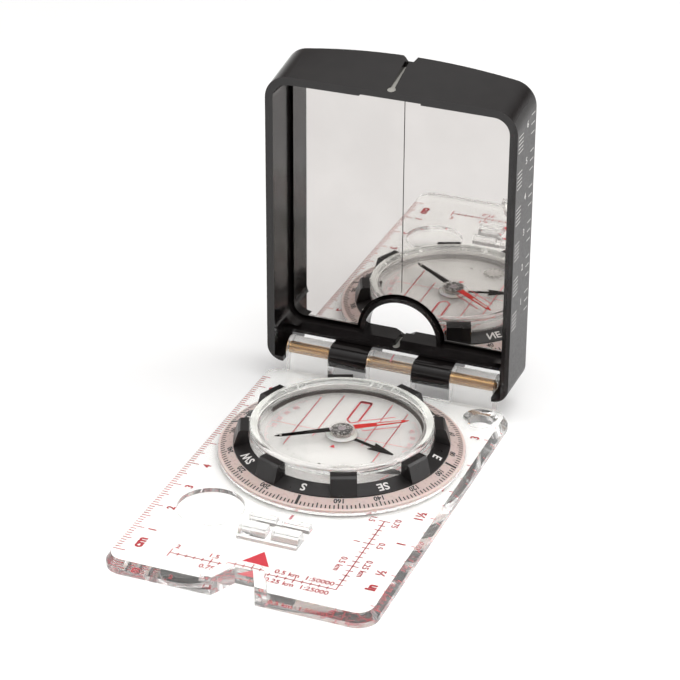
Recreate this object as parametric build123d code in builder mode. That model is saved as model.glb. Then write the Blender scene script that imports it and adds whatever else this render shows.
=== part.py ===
"""Mirror sighting compass: clear baseplate, turning dial with a sealed capsule, and a hinged mirror lid.

Millimetres, +Z up. The origin is on the flat underside, straight under the dial's centre.
+X is to the user's right, +Y is the sighting direction, towards the hinge. The lid stands open.
"""
from math import atan, cos, degrees, pi, sin
from build123d import *
import os

os.makedirs("parts", exist_ok=True)

# ---------------------------------------------------------------- clearances
running_gap = 0.05      # radial, between a shaft and the hole it turns in
float_gap = 0.1         # between faces that slide past each other
fit_gap = 0.05          # round a part that sits in a recess
side_gap = 0.15         # between hinge knuckles, along the pin
swing_gap = 0.3         # round a part that swings past another
cut_overrun = 1.0       # how far a cut runs on past the face that it opens
bond_depth = 0.5        # how far a raised detail is sunk into what it stands on
edge_break = 0.2        # small chamfer of a turned part

# ---------------------------------------------------------------- baseplate
plate_width = 65.0
plate_front = 64.9      # dial centre to the front edge
plate_rear = 32.0       # dial centre to the rear edge
plate_thickness = 3.2
plate_corner = 5.0
plate_bevel = 1.2       # width of the bevel on the long ruler edge
plate_bevel_share = 0.6 # of the thickness that the bevel takes
notch_width = 10.6
notch_depth = 6.4
notch_root = 4.4
collar_height = 1.4
collar_width = 2.8
collar_taper = 14.0     # degrees
lens_radius = 7.9
lens_rise = 1.1
lens_x = 14.3 - plate_width / 2
lens_y = -35.8
lanyard_radius = 3.2
lanyard_rim = 1.0
lanyard_inset = 6.5     # hole centre to the plate's right edge
lanyard_x = plate_width / 2 - lanyard_inset
lanyard_y = 25.9
catch_width = 14.6      # the clear block that the shut lid's rim drops into
catch_height = 3.0      # front ridge above the plate
catch_rear_height = 2.0
catch_front = 4.9       # front ridge, front to back
catch_rear = 2.4        # rear ridge
catch_step = 0.8        # height and depth of the small step at its front
catch_slope = 0.6       # run of the sloping front face
catch_round = 0.4       # broken top edges
catch_draft = 0.2
catch_gap = 1.4

# ---------------------------------------------------------------- hinge
hinge_y = 34.0
hinge_z = 8.0
knuckle_radius = 3.1
pin_radius = 1.0
tower_inner = 16.1      # the outer base knuckles run from here ...
tower_inset = 5.2
tower_outer = plate_width / 2 - tower_inset     # ... to here, each side
centre_knuckle = 5.9    # half length of the middle base knuckle
tower_foot_rear = 34.4  # where the towers' sloping back meets the underside

# ---------------------------------------------------------------- lid
lid_side_step = 0.8     # the lid is this much narrower than the baseplate, each side
lid_width = plate_width - 2 * lid_side_step
lid_wall = 2.0
lid_back = 1.5
lid_depth = 14.4        # rim to back
lid_height = 74.9       # hinge axis to the rim's far end
lid_flare = 1.5         # the back's far end stands this much higher than the rim's
lid_bow = 3.0           # and bows up this much more at its middle
lid_tail = 1.8          # below the hinge axis
lid_corner = 6.0
lid_tail_corner = 4.0
lid_edge_round = 0.8    # round the back's outer edge
lid_rim_bow = 0.2       # the rim's far side is bowed this much
lid_knuckle_bevel = 1.2 # on the knuckles' lower rear edge
hinge_bar = 2.0         # thickness of the wall beside the hinge
hinge_bar_slope = 1.2    # drop of the wall's sloping front edge
hinge_bar_front = 1.6   # its front face lies this far behind the pin's axis
rim_recess_width = 15.4
rim_recess_height = 0.6
rim_recess_depth = 3.4
window_radius = 9.6
window_wall = 1.1
window_proud = 0.7      # the window's wall stands this much proud of the mirror
sight_notch_width = 4.4
sight_notch_depth = 2.7
sight_notch_length = 2.6 # forward from the lid's back
low_notch_width = 5.2
low_notch_depth = 1.4
groove_width = 1.1
groove_depth = 0.6
groove_dot_radius = 1.05
groove_dot_inset = 0.3
inlay_thickness = 0.35

# ---------------------------------------------------------------- mirror
mirror_thickness = 2.0
mirror_gap = 0.4        # round the mirror, inside the lid's walls
mirror_bevel = 0.5
adhesive_thickness = 0.3
adhesive_margin = 1.5

# ---------------------------------------------------------------- dial
capsule_radius = 22.0   # the dial's other radii follow it
housing_radius = capsule_radius + 1.9       # the stretch that turns in the baseplate
retainer_radius = capsule_radius + 3.6
retainer_inner = capsule_radius - 1.0
retainer_thickness = 0.95
capsule_wall = 1.5
capsule_step = 0.6
capsule_step_height = 4.6
capsule_floor = 0.6
floor_drop = 0.25       # the floor hangs this much below its flange
capsule_top = 10.4
lens_seat_height = 8.6
window_plate = 0.8
rim_band = 2.6          # width of the capsule's raised rim
rim_round = 0.7         # its outer edge
rim_flat = 0.4
rim_hollow = 2.2        # radius of the curve down to the window's face
window_spigot = 0.4     # the window's underside is this much smaller than the capsule's bore
window_sink = 0.8       # the window's face lies this far below the capsule's rim
ring_radius = capsule_radius + 7.5
ring_edge = 0.45
ring_slope = 0.33       # rise of the degree ring per millimetre inwards
ring_skirt = 1.5        # the ring's outer wall reaches this far down into the baseplate's groove
ring_skirt_wall = 1.4
groove_floor = 1.6      # what is left of the baseplate under the groove
bezel_radius = capsule_radius + 3.85
bezel_base = 0.6        # the bezel's seat above the degree ring's underside
bezel_lip = 0.3          # the bezel's outer edge stands this much above the degree ring
bezel_rise = 1.2
grip_count = 8
grip_width = 6.2
grip_top = 9.75
grip_crown = 2.5        # radial width of a grip's flat top and bevel
grip_bevel = 0.5

# ---------------------------------------------------------------- declination gear
disc_thickness = 0.5
disc_gap = 0.2          # round the disc, inside the cup
gear_module = 0.4
ring_teeth = round((2 * capsule_radius - 7.2) / gear_module)
pinion_teeth = 12
tooth_depth = 0.36
tooth_base_share = 0.223 # of the pitch: half a tooth's base, so that the mesh has play
tooth_tip_share = 0.122 # of the pitch: half a tooth's tip
tooth_root = 0.25       # how far a tooth's base is sunk into its wheel
stem_share = 0.6        # the pinion's stem against its pitch radius
gear_face = 0.8
disc_wall = 0.6
disc_wall_height = 2.4
pinion_angle = -67.5
driver_slot = 0.5
driver_slot_depth = 0.35

# ---------------------------------------------------------------- pivot, needle and clinometer
pivot_base_radius = 3.2
pivot_collar_radius = 2.2
pivot_collar_height = 1.0
pivot_pin_radius = 0.45
pivot_cone = 1.2        # length of the pin's point
pivot_tip_radius = 0.06
pin_foot_height = 0.4   # the pin's lower end above the capsule's floor
pointer_length = capsule_radius - 6.7
pointer_thickness = 0.3
pointer_half = 0.5      # half widths of its shaft, arrow barbs and tip
pointer_barb_half = 1.7
pointer_tip_half = 0.25
pointer_neck = 0.62     # shares of its length where the arrow head starts and where its barbs lie
pointer_barb = 0.58
pointer_ring = 3.9
pointer_heading = -17.0  # degrees round from +X
hub_radius = 3.0
hub_height = 3.8
hub_wall = 0.4
hub_crown = 0.9         # height of the hub's domed top
jewel_radius = 0.9
jewel_height = 0.7
jewel_cup = 0.35        # depth and radius of the jewel's cup, which sits on the pivot's tip
jewel_taper = 25.0      # degrees
magnet_height = 0.9
needle_reach = capsule_radius - 5.5
needle_width = 1.87     # at the hub
needle_taper = 0.58     # its width at the shoulder, as a share of the width at the hub
needle_shoulder = 0.9   # share of its reach where the point starts
needle_thickness = 0.3
needle_height = 2.4     # the needle's underside above the hub's foot
needle_heading = 34.7   # degrees round from +X to the north end

# ---------------------------------------------------------------- derived
hole_radius = housing_radius + running_gap
counterbore_radius = retainer_radius + swing_gap
retainer_bottom = 0.2
retainer_top = retainer_bottom + retainer_thickness
counterbore_depth = retainer_top + float_gap
ring_bottom = plate_thickness + float_gap
bezel_seat = ring_bottom + bezel_base
capsule_inner = capsule_radius - capsule_wall
cup_inner = capsule_inner - capsule_step
floor_bottom = retainer_top - floor_drop
floor_top = floor_bottom + capsule_floor
rim_offset = hinge_z - plate_thickness - float_gap      # hinge axis to the lid's rim plane
rim_y = hinge_y - rim_offset
back_y = rim_y + lid_depth
panel_y = back_y - lid_back
mirror_back_y = panel_y - adhesive_thickness
mirror_front_y = mirror_back_y - mirror_thickness
bar_bottom_z = hinge_z + knuckle_radius + swing_gap
bar_top_z = bar_bottom_z + hinge_bar
bar_front_y = hinge_y + hinge_bar_front
lid_tail_z = hinge_z - lid_tail
lid_rim_z = hinge_z + lid_height
inner_half_width = lid_width / 2 - lid_wall
inner_top_z = lid_rim_z - lid_wall
slot_half_width = tower_outer + side_gap


def upright(y):
    """A sketch plane facing the user at a given Y, with X across and Z up."""
    return Plane.XZ.offset(-y)


def notch_outline():
    """The front notch seen from above, run out past the front edge: narrow at its root."""
    with BuildSketch() as outline:
        with BuildLine():
            Polyline((-notch_width / 2, -plate_front - cut_overrun), (-notch_width / 2, -plate_front),
                     (-notch_root / 2, -plate_front + notch_depth),
                     (notch_root / 2, -plate_front + notch_depth),
                     (notch_width / 2, -plate_front), (notch_width / 2, -plate_front - cut_overrun),
                     close=True)
        make_face()
    return outline.sketch_local


def lid_outline(half_width, bottom, top, bow, tail_corner, top_corner):
    """The lid's outline seen from the front: straight sides, rounded corners and a bowed top."""
    with BuildSketch() as outline:
        with BuildLine():
            Polyline((-half_width, top), (-half_width, bottom), (half_width, bottom),
                     (half_width, top))
            ThreePointArc((half_width, top), (0, top + bow), (-half_width, top))
        make_face()
        fillet(outline.vertices().group_by(Axis.Y)[0], tail_corner)
        fillet(outline.vertices().sort_by(Axis.Y)[-2:], top_corner)
    return outline.sketch_local


def window_outline(radius):
    """The half-round sighting window, standing on the hinge bar."""
    with BuildSketch() as outline:
        with BuildLine():
            CenterArc((0, bar_top_z), radius, 0, 180)
            Line((-radius, bar_top_z), (radius, bar_top_z))
        make_face()
    return outline.sketch_local


def knuckle_profile(y_front, y_rear, foot_rear, foot_z):
    """A hinge knuckle's side view: a round about the pin on a foot that runs down to the plate."""
    with BuildSketch() as outline:
        with BuildLine():
            Polyline((y_front, foot_z), (y_front, hinge_z), (y_rear, hinge_z), (foot_rear, foot_z),
                     close=True)
        make_face()
        with Locations((hinge_y, hinge_z)):
            Circle(knuckle_radius)
    return outline.sketch_local


# ================================================================ baseplate
with BuildPart() as baseplate:
    with BuildSketch():
        with Locations((0, (plate_rear - plate_front) / 2)):
            RectangleRounded(plate_width, plate_front + plate_rear, plate_corner)
    extrude(amount=plate_thickness)
    long_edge = baseplate.edges().filter_by(Axis.Y).group_by(Axis.Z)[-1].sort_by(Axis.X)[0]
    chamfer(long_edge, plate_thickness * plate_bevel_share, plate_bevel)
    # front sighting notch with a raised collar round it
    with BuildSketch(Plane.XY.offset(plate_thickness)) as collar:
        add(notch_outline())
        offset(amount=collar_width, kind=Kind.ARC)
        with Locations((0, -plate_front - notch_depth)):
            Rectangle(plate_width, 2 * notch_depth, mode=Mode.SUBTRACT)
    extrude(amount=collar_height, taper=collar_taper)
    with BuildSketch():
        add(notch_outline())
    extrude(amount=plate_thickness + collar_height + cut_overrun, mode=Mode.SUBTRACT)
    # magnifying lens: a shallow dome in a round recess, flush so that the lid shuts over it
    with BuildSketch(Plane.XY.offset(plate_thickness)):
        with Locations((lens_x, lens_y)):
            Circle(lens_radius)
    extrude(amount=-lens_rise, mode=Mode.SUBTRACT)
    dome_radius = (lens_radius**2 + lens_rise**2) / (2 * lens_rise)
    with BuildSketch(Plane((lens_x, lens_y, plate_thickness - lens_rise), x_dir=(1, 0, 0),
                           z_dir=(0, -1, 0))):
        with BuildLine():
            CenterArc((0, lens_rise - dome_radius), dome_radius,
                      90 - degrees(atan(lens_radius / (dome_radius - lens_rise))),
                      degrees(atan(lens_radius / (dome_radius - lens_rise))))
            Line((0, lens_rise), (0, -bond_depth))
            Polyline((0, -bond_depth), (lens_radius, -bond_depth), (lens_radius, 0))
        make_face()
    revolve(axis=Axis((lens_x, lens_y, 0), (0, 0, 1)))
    # catch block: a ridge each side of the shut lid's rim, split on the centre line
    rim_front = hinge_y - lid_height
    lid_lean = (lid_flare + lid_bow) / lid_depth
    front_ridge = rim_front - swing_gap
    rear_ridge = rim_front + lid_wall + swing_gap
    top = plate_thickness + catch_height
    rear_top = plate_thickness + catch_rear_height
    with BuildSketch(Plane.YZ.offset(-catch_width / 2)):
        with BuildLine():
            step_end = front_ridge - catch_front + catch_step
            Polyline((front_ridge - catch_front, plate_thickness - bond_depth),
                     (front_ridge - catch_front, plate_thickness + catch_step),
                     (step_end, plate_thickness + catch_step),
                     (step_end + catch_slope, top - catch_round),
                     (step_end + catch_slope + catch_round, top),
                     (front_ridge - catch_height * lid_lean - catch_draft, top),
                     (front_ridge, plate_thickness),
                     (front_ridge, plate_thickness - bond_depth), close=True)
        make_face()
        with BuildLine():
            rear_end = rear_ridge + catch_rear
            Polyline((rear_ridge, plate_thickness - bond_depth), (rear_ridge, rear_top - catch_round),
                     (rear_ridge + catch_round, rear_top),
                     (rear_end - catch_slope - catch_round, rear_top),
                     (rear_end - catch_slope, rear_top - catch_round),
                     (rear_end, plate_thickness - bond_depth), close=True)
        make_face()
    extrude(amount=catch_width)
    with BuildSketch(Plane.XY.offset(plate_thickness + catch_step)):
        with Locations((0, rim_front)):
            Rectangle(catch_gap, 2 * (catch_front + catch_rear))
    extrude(amount=catch_height, mode=Mode.SUBTRACT)
    # hinge towers and the middle knuckle
    for low, high in ((-tower_outer, -tower_inner), (-centre_knuckle, centre_knuckle),
                      (tower_inner, tower_outer)):
        with BuildSketch(Plane.YZ.offset(low)):
            add(knuckle_profile(hinge_y - knuckle_radius, hinge_y + knuckle_radius, tower_foot_rear, 0))
        extrude(amount=high - low)
    # bore for the hinge pin, hole for the dial with the retainer's counterbore, lanyard hole
    with BuildSketch(Plane.YZ.offset(-tower_outer - cut_overrun)):
        with Locations((hinge_y, hinge_z)):
            Circle(pin_radius)
    extrude(amount=2 * (tower_outer + cut_overrun), mode=Mode.SUBTRACT)
    with BuildSketch():
        Circle(hole_radius)
        with Locations((lanyard_x, lanyard_y)):
            Circle(lanyard_radius)
    extrude(amount=plate_thickness, mode=Mode.SUBTRACT)
    with BuildSketch():
        Circle(counterbore_radius)
    extrude(amount=counterbore_depth, mode=Mode.SUBTRACT)
    # groove that the degree ring's outer wall runs in
    with BuildSketch(Plane.XY.offset(plate_thickness)):
        Circle(ring_radius + float_gap)
        Circle(ring_radius - ring_skirt_wall - float_gap, mode=Mode.SUBTRACT)
    extrude(amount=groove_floor - plate_thickness, mode=Mode.SUBTRACT)
    rim_edges = [e for e in baseplate.edges().filter_by(GeomType.CIRCLE)
                 if abs(e.radius - lanyard_radius) < 1e-6 and e.center().Z > plate_thickness - 0.01]
    chamfer(rim_edges, lanyard_rim)

# ================================================================ hinge pin
with BuildPart() as hinge_pin:
    with BuildSketch(Plane.YZ.offset(-tower_outer)):
        with Locations((hinge_y, hinge_z)):
            Circle(pin_radius)
    extrude(amount=2 * tower_outer)
    chamfer(hinge_pin.edges(), edge_break)

# ================================================================ lid frame
with BuildPart() as lid_frame:
    with BuildSketch(upright(rim_y)):
        add(lid_outline(lid_width / 2, lid_tail_z, lid_rim_z, lid_rim_bow, lid_tail_corner, lid_corner))
    with BuildSketch(upright(back_y)):
        add(lid_outline(lid_width / 2, lid_tail_z, lid_rim_z + lid_flare, lid_bow, lid_tail_corner,
                        lid_corner))
    loft()
    fillet(lid_frame.edges().group_by(Axis.Y)[-1], lid_edge_round)
    # the hollow that covers the dial when the lid is shut
    with BuildSketch(upright(rim_y)):
        add(lid_outline(inner_half_width, bar_top_z, inner_top_z, lid_rim_bow, lid_corner - lid_wall,
                        lid_corner - lid_wall))
    extrude(amount=-(panel_y - rim_y), mode=Mode.SUBTRACT)
    # room for the towers, and for the degree ring when the lid is shut
    with BuildSketch(upright(rim_y - cut_overrun)):
        with Locations((0, (lid_tail_z + bar_bottom_z) / 2 - cut_overrun)):
            Rectangle(2 * slot_half_width, bar_bottom_z - lid_tail_z + 2 * cut_overrun)
    extrude(amount=-(lid_depth + 2 * cut_overrun), mode=Mode.SUBTRACT)
    with BuildSketch(upright(rim_y - cut_overrun)):
        with Locations((0, bar_top_z - hinge_bar)):
            Rectangle(2 * inner_half_width, 4 * hinge_bar)
    extrude(amount=-(bar_front_y - rim_y + cut_overrun), mode=Mode.SUBTRACT)
    with BuildSketch(Plane.YZ.offset(-inner_half_width)):
        with BuildLine():
            Polyline((bar_front_y - cut_overrun, bar_top_z - hinge_bar_slope - cut_overrun / 2),
                     (bar_front_y, bar_top_z - hinge_bar_slope),
                     (bar_front_y + 2 * hinge_bar_slope, bar_top_z),
                     (bar_front_y - cut_overrun, bar_top_z), close=True)
        make_face()
    extrude(amount=2 * inner_half_width, mode=Mode.SUBTRACT)
    # two knuckles between the towers and the middle knuckle
    for side in (-1, 1):
        low = centre_knuckle + side_gap if side > 0 else -(tower_inner - side_gap)
        length = tower_inner - centre_knuckle - 2 * side_gap
        with BuildSketch(Plane.YZ.offset(low)):
            with BuildLine():
                Polyline((hinge_y, hinge_z + knuckle_radius),
                         (bar_front_y + bond_depth, hinge_z + knuckle_radius),
                         (bar_front_y + bond_depth, bar_bottom_z + bond_depth),
                         (back_y, bar_bottom_z + bond_depth), (back_y, lid_tail_z + lid_knuckle_bevel),
                         (back_y - lid_knuckle_bevel, lid_tail_z),
                         (hinge_y + knuckle_radius, lid_tail_z), (hinge_y, hinge_z), close=True)
            make_face()
            with Locations((hinge_y, hinge_z)):
                Circle(knuckle_radius)
        extrude(amount=length)
    with BuildSketch(Plane.YZ.offset(-tower_outer)):
        with Locations((hinge_y, hinge_z)):
            Circle(pin_radius + running_gap)
    extrude(amount=2 * tower_outer, mode=Mode.SUBTRACT)
    # sighting window with its wall round the mirror's cut-out
    with BuildSketch(upright(mirror_front_y - window_proud)):
        add(window_outline(window_radius + window_wall))
    extrude(amount=-(panel_y - mirror_front_y + window_proud))
    with BuildSketch(upright(mirror_front_y - cut_overrun)):
        add(window_outline(window_radius))
    extrude(amount=-(back_y - mirror_front_y + 2 * cut_overrun), mode=Mode.SUBTRACT)
    # recess in the far rim, which clears the index block
    with BuildSketch(upright(rim_y - cut_overrun)):
        with Locations((0, inner_top_z)):
            Rectangle(rim_recess_width, 2 * rim_recess_height)
    extrude(amount=-(rim_recess_depth + cut_overrun), mode=Mode.SUBTRACT)
    # upper sighting notch in the back's bowed edge, and the groove that leads to it
    crown_z = lid_rim_z + lid_flare + lid_bow
    with BuildSketch(upright(back_y + cut_overrun)):
        with BuildLine():
            Polyline((-sight_notch_width / 2 - cut_overrun, crown_z + 2 * cut_overrun),
                     (-sight_notch_width / 2, crown_z),
                     (0, crown_z - sight_notch_depth), (sight_notch_width / 2, crown_z),
                     (sight_notch_width / 2 + cut_overrun, crown_z + 2 * cut_overrun), close=True)
        make_face()
    extrude(amount=sight_notch_length + cut_overrun, mode=Mode.SUBTRACT)
    # lower sighting notch in the hinge bar
    with BuildSketch(upright(back_y + cut_overrun)):
        with BuildLine():
            Polyline((-low_notch_width / 2, bar_top_z), (0, bar_top_z - low_notch_depth),
                     (low_notch_width / 2, bar_top_z), close=True)
        make_face()
    extrude(amount=lid_back + cut_overrun, mode=Mode.SUBTRACT)
    # slope of the far wall along the middle, from the rim to the crown
    slope_length = ((crown_z - sight_notch_depth - lid_rim_z)**2 + (lid_depth - sight_notch_length)**2)**0.5
    slope_start = Vector(0, rim_y, lid_rim_z + lid_rim_bow)
    slope_end = Vector(0, back_y - sight_notch_length, crown_z - sight_notch_depth + groove_depth / 2)
    slope_plane = Plane(slope_start, x_dir=(1, 0, 0),
                        z_dir=Vector(1, 0, 0).cross(slope_end - slope_start))
    with BuildSketch(slope_plane) as groove:
        with Locations((0, slope_length / 2 + groove_dot_radius / 2)):
            Rectangle(groove_width, slope_length - groove_dot_radius)
        with Locations((0, groove_dot_radius + groove_dot_inset)):
            Circle(groove_dot_radius)
    extrude(amount=sight_notch_depth, mode=Mode.SUBTRACT)
    extrude(groove.sketch, amount=-groove_depth, mode=Mode.SUBTRACT)
    # short groove and dot in the hinge bar, from the lower notch to its front edge
    low_groove_z = bar_top_z - low_notch_depth
    with BuildSketch(Plane.XY.offset(low_groove_z - inlay_thickness)) as low_groove:
        with Locations((0, (bar_front_y + groove_dot_radius + back_y - lid_back) / 2)):
            Rectangle(groove_width, back_y - lid_back - bar_front_y - groove_dot_radius)
        with Locations((0, bar_front_y + groove_dot_radius + groove_dot_inset / 3)):
            Circle(groove_dot_radius)
    extrude(amount=hinge_bar, mode=Mode.SUBTRACT)

# ================================================================ sight inlays
with BuildPart() as upper_sight_inlay:
    extrude(groove.sketch, amount=-groove_depth)

with BuildPart() as lower_sight_inlay:
    extrude(low_groove.sketch, amount=inlay_thickness)

# ================================================================ mirror and its adhesive sheet
mirror_half_width = inner_half_width - mirror_gap
mirror_bottom = bar_top_z + mirror_gap
mirror_top = inner_top_z - mirror_gap
mirror_corner = lid_corner - lid_wall - mirror_gap


def mirror_outline(margin):
    """The mirror's outline with the window's cut-out, pulled in by a margin all round."""
    with BuildSketch() as outline:
        add(lid_outline(mirror_half_width - margin, mirror_bottom + margin, mirror_top - margin, lid_rim_bow,
                        mirror_corner, mirror_corner))
        with BuildLine():
            reach = window_radius + window_wall + mirror_gap + margin
            CenterArc((0, bar_top_z), reach, 0, 180)
            Polyline((-reach, bar_top_z), (-reach, bar_top_z - hinge_bar),
                     (reach, bar_top_z - hinge_bar), (reach, bar_top_z))
        make_face(mode=Mode.SUBTRACT)
    return outline.sketch_local


with BuildPart() as mirror:
    with BuildSketch(upright(mirror_front_y)):
        add(mirror_outline(0))
    extrude(amount=-mirror_thickness)
    chamfer(mirror.edges().group_by(Axis.Y)[0], mirror_bevel)

with BuildPart() as mirror_adhesive:
    with BuildSketch(upright(mirror_back_y)):
        add(mirror_outline(adhesive_margin))
    extrude(amount=-adhesive_thickness)

# ================================================================ dial: bezel and degree ring
with BuildPart() as degree_ring:
    with BuildSketch(Plane.XZ):
        slope_top = ring_bottom + ring_edge + (ring_radius - bezel_radius) * ring_slope
        skirt_inner = ring_radius - ring_skirt_wall
        with BuildLine():
            Polyline((capsule_radius + float_gap, ring_bottom), (skirt_inner, ring_bottom),
                     (skirt_inner, ring_bottom - ring_skirt), (ring_radius, ring_bottom - ring_skirt),
                     (ring_radius, ring_bottom + ring_edge), (bezel_radius + fit_gap, slope_top),
                     (bezel_radius + fit_gap, bezel_seat), (capsule_radius + float_gap, bezel_seat),
                     close=True)
        make_face()
    revolve(axis=Axis.Z)

bezel_inner = capsule_radius + float_gap
with BuildPart() as bezel_ring:
    with BuildSketch(Plane.XZ):
        with BuildLine():
            Polyline((bezel_inner, bezel_seat), (bezel_radius, bezel_seat),
                     (bezel_radius, slope_top + bezel_lip),
                     (bezel_inner, slope_top + bezel_lip + bezel_rise), close=True)
        make_face()
    revolve(axis=Axis.Z)
    with BuildPart(mode=Mode.PRIVATE) as grip:
        with BuildSketch(Plane.XZ.offset(-grip_width / 2)):
            with BuildLine():
                Polyline((bezel_inner, bezel_seat), (bezel_radius, bezel_seat),
                         (bezel_radius, slope_top + bezel_lip),
                         (bezel_inner + grip_crown, grip_top - grip_bevel),
                         (bezel_inner + grip_crown - grip_bevel, grip_top), (bezel_inner, grip_top),
                         close=True)
            make_face()
        extrude(amount=grip_width)
        with BuildSketch():
            Circle(bezel_inner)
        extrude(amount=grip_top + cut_overrun, mode=Mode.SUBTRACT)
    with PolarLocations(0, grip_count, start_angle=180 / grip_count):
        add(grip.part)
    with BuildSketch():
        Circle(2 * bezel_radius)
        Circle(bezel_radius, mode=Mode.SUBTRACT)
    extrude(amount=grip_top + cut_overrun, mode=Mode.SUBTRACT)

# ================================================================ dial: capsule, retainer
pinion_radius = gear_module * pinion_teeth / 2
ring_pitch_radius = gear_module * ring_teeth / 2
pinion_offset = ring_pitch_radius - pinion_radius
pinion_x = pinion_offset * cos(pinion_angle * pi / 180)
pinion_y = pinion_offset * sin(pinion_angle * pi / 180)
stem_radius = pinion_radius * stem_share

with BuildPart() as capsule_cup:
    with BuildSketch(Plane.XZ):
        with BuildLine():
            Polyline((0, floor_bottom), (retainer_inner - float_gap, floor_bottom),
                     (retainer_inner - float_gap, retainer_top), (housing_radius, retainer_top),
                     (housing_radius, ring_bottom),
                     (capsule_radius, ring_bottom), (capsule_radius, lens_seat_height),
                     (capsule_inner, lens_seat_height), (capsule_inner, capsule_step_height),
                     (cup_inner, capsule_step_height), (cup_inner, floor_top), (0, floor_top), close=True)
        make_face()
    revolve(axis=Axis.Z)
    with BuildSketch():
        with Locations((pinion_x, pinion_y)):
            Circle(stem_radius + running_gap)
    extrude(amount=floor_top, mode=Mode.SUBTRACT)

with BuildPart() as capsule_window:
    with BuildSketch(Plane.XZ):
        window_top = capsule_top - window_sink
        with BuildLine():
            flat_outer = capsule_radius - rim_round
            flat_inner = flat_outer - rim_flat
            Polyline((0, window_top - window_plate),
                     (capsule_inner - window_spigot, window_top - window_plate),
                     (capsule_inner, lens_seat_height), (capsule_radius, lens_seat_height),
                     (capsule_radius, capsule_top - rim_round))
            RadiusArc((capsule_radius, capsule_top - rim_round), (flat_outer, capsule_top), -rim_round)
            Line((flat_outer, capsule_top), (flat_inner, capsule_top))
            RadiusArc((flat_inner, capsule_top), (capsule_radius - rim_band, window_top), -rim_hollow)
            Line((capsule_radius - rim_band, window_top), (0, window_top))
            Line((0, window_top), (0, window_top - window_plate))
        make_face()
    revolve(axis=Axis.Z)

with BuildPart() as retaining_ring:
    with BuildSketch(Plane.XY.offset(retainer_bottom)):
        Circle(retainer_radius)
        Circle(retainer_inner, mode=Mode.SUBTRACT)
    extrude(amount=retainer_thickness)

# ================================================================ dial: declination disc and screw
gear_bottom = floor_top + float_gap
disc_bottom = gear_bottom + gear_face + float_gap
disc_top = disc_bottom + disc_thickness
disc_radius = cup_inner - disc_gap


def tooth(radius, outward):
    """One trapezoid tooth on the pitch circle, pointing outward (1) or inward (-1)."""
    pitch = pi * gear_module
    root = radius - outward * (tooth_depth + tooth_root)
    tip = radius + outward * tooth_depth
    base_half = pitch * tooth_base_share
    tip_half = pitch * tooth_tip_share
    with BuildSketch() as outline:
        with BuildLine():
            Polyline((root, -base_half), (tip, -tip_half), (tip, tip_half), (root, base_half), close=True)
        make_face()
    return outline.sketch_local


with BuildPart() as declination_disc:
    with BuildSketch(Plane.XY.offset(disc_bottom)):
        Circle(disc_radius)
        Circle(pivot_base_radius + running_gap, mode=Mode.SUBTRACT)
    extrude(amount=disc_thickness)
    with BuildSketch(Plane.XY.offset(gear_bottom)):
        Circle(disc_radius)
        Circle(ring_pitch_radius + tooth_depth + float_gap, mode=Mode.SUBTRACT)
        with PolarLocations(0, ring_teeth, start_angle=pinion_angle):
            add(tooth(ring_pitch_radius, -1))
    extrude(amount=disc_bottom - gear_bottom)
    with BuildSketch(Plane.XY.offset(disc_top)):
        Circle(disc_radius)
        Circle(disc_radius - disc_wall, mode=Mode.SUBTRACT)
    extrude(amount=disc_wall_height)

with BuildPart() as declination_screw:
    with BuildSketch(Plane.XY.offset(gear_bottom)):
        with Locations((pinion_x, pinion_y)):
            Circle(pinion_radius - tooth_depth - float_gap)
        with Locations(Location((pinion_x, pinion_y, 0), (0, 0, pinion_angle + 180 / pinion_teeth))):
            with PolarLocations(0, pinion_teeth):
                add(tooth(pinion_radius, 1))
    extrude(amount=gear_face)
    with BuildSketch(Plane.XY.offset(floor_bottom)):
        with Locations((pinion_x, pinion_y)):
            Circle(stem_radius)
    extrude(amount=gear_bottom - floor_bottom + float_gap)
    with BuildSketch(Plane.XY.offset(floor_bottom)):
        with Locations((pinion_x, pinion_y)):
            Rectangle(2 * pinion_radius, driver_slot)
    extrude(amount=driver_slot_depth, mode=Mode.SUBTRACT)

# ================================================================ dial: pivot
pivot_shelf = disc_top + float_gap
pin_foot = floor_top + pin_foot_height
hub_bottom = pivot_shelf + pivot_collar_height + swing_gap
hub_top = hub_bottom + hub_height
needle_z = hub_bottom + needle_height
jewel_top = needle_z + jewel_height
pivot_tip_height = needle_z + jewel_cup
with BuildPart() as pivot_base:
    with BuildSketch(Plane.XZ):
        with BuildLine():
            Polyline((0, floor_top), (pivot_base_radius, floor_top), (pivot_base_radius, pivot_shelf),
                     (pivot_collar_radius, pivot_shelf),
                     (pivot_collar_radius, pivot_shelf + pivot_collar_height),
                     (pivot_pin_radius, pivot_shelf + pivot_collar_height),
                     (pivot_pin_radius, pin_foot), (0, pin_foot), close=True)
        make_face()
    revolve(axis=Axis.Z)

with BuildPart() as pivot_pin:
    with BuildSketch(Plane.XZ):
        with BuildLine():
            Polyline((0, pin_foot), (pivot_pin_radius, pin_foot),
                     (pivot_pin_radius, pivot_tip_height - pivot_cone),
                     (pivot_tip_radius, pivot_tip_height),
                     (0, pivot_tip_height), close=True)
        make_face()
    revolve(axis=Axis.Z)

# ================================================================ clinometer pointer
pointer_z = pivot_shelf + float_gap
with BuildPart() as clinometer_pointer:
    with BuildSketch(Plane.XY.offset(pointer_z).rotated((0, 0, pointer_heading))):
        with BuildLine():
            neck, barb = pointer_length * pointer_neck, pointer_length * pointer_barb
            Polyline((0, pointer_half), (neck, pointer_half), (barb, pointer_barb_half),
                     (pointer_length, pointer_tip_half), (pointer_length, -pointer_tip_half),
                     (barb, -pointer_barb_half), (neck, -pointer_half), (0, -pointer_half), close=True)
        make_face()
        Circle(pointer_ring)
        Circle(pivot_collar_radius + running_gap, mode=Mode.SUBTRACT)
    extrude(amount=pointer_thickness)

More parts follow.
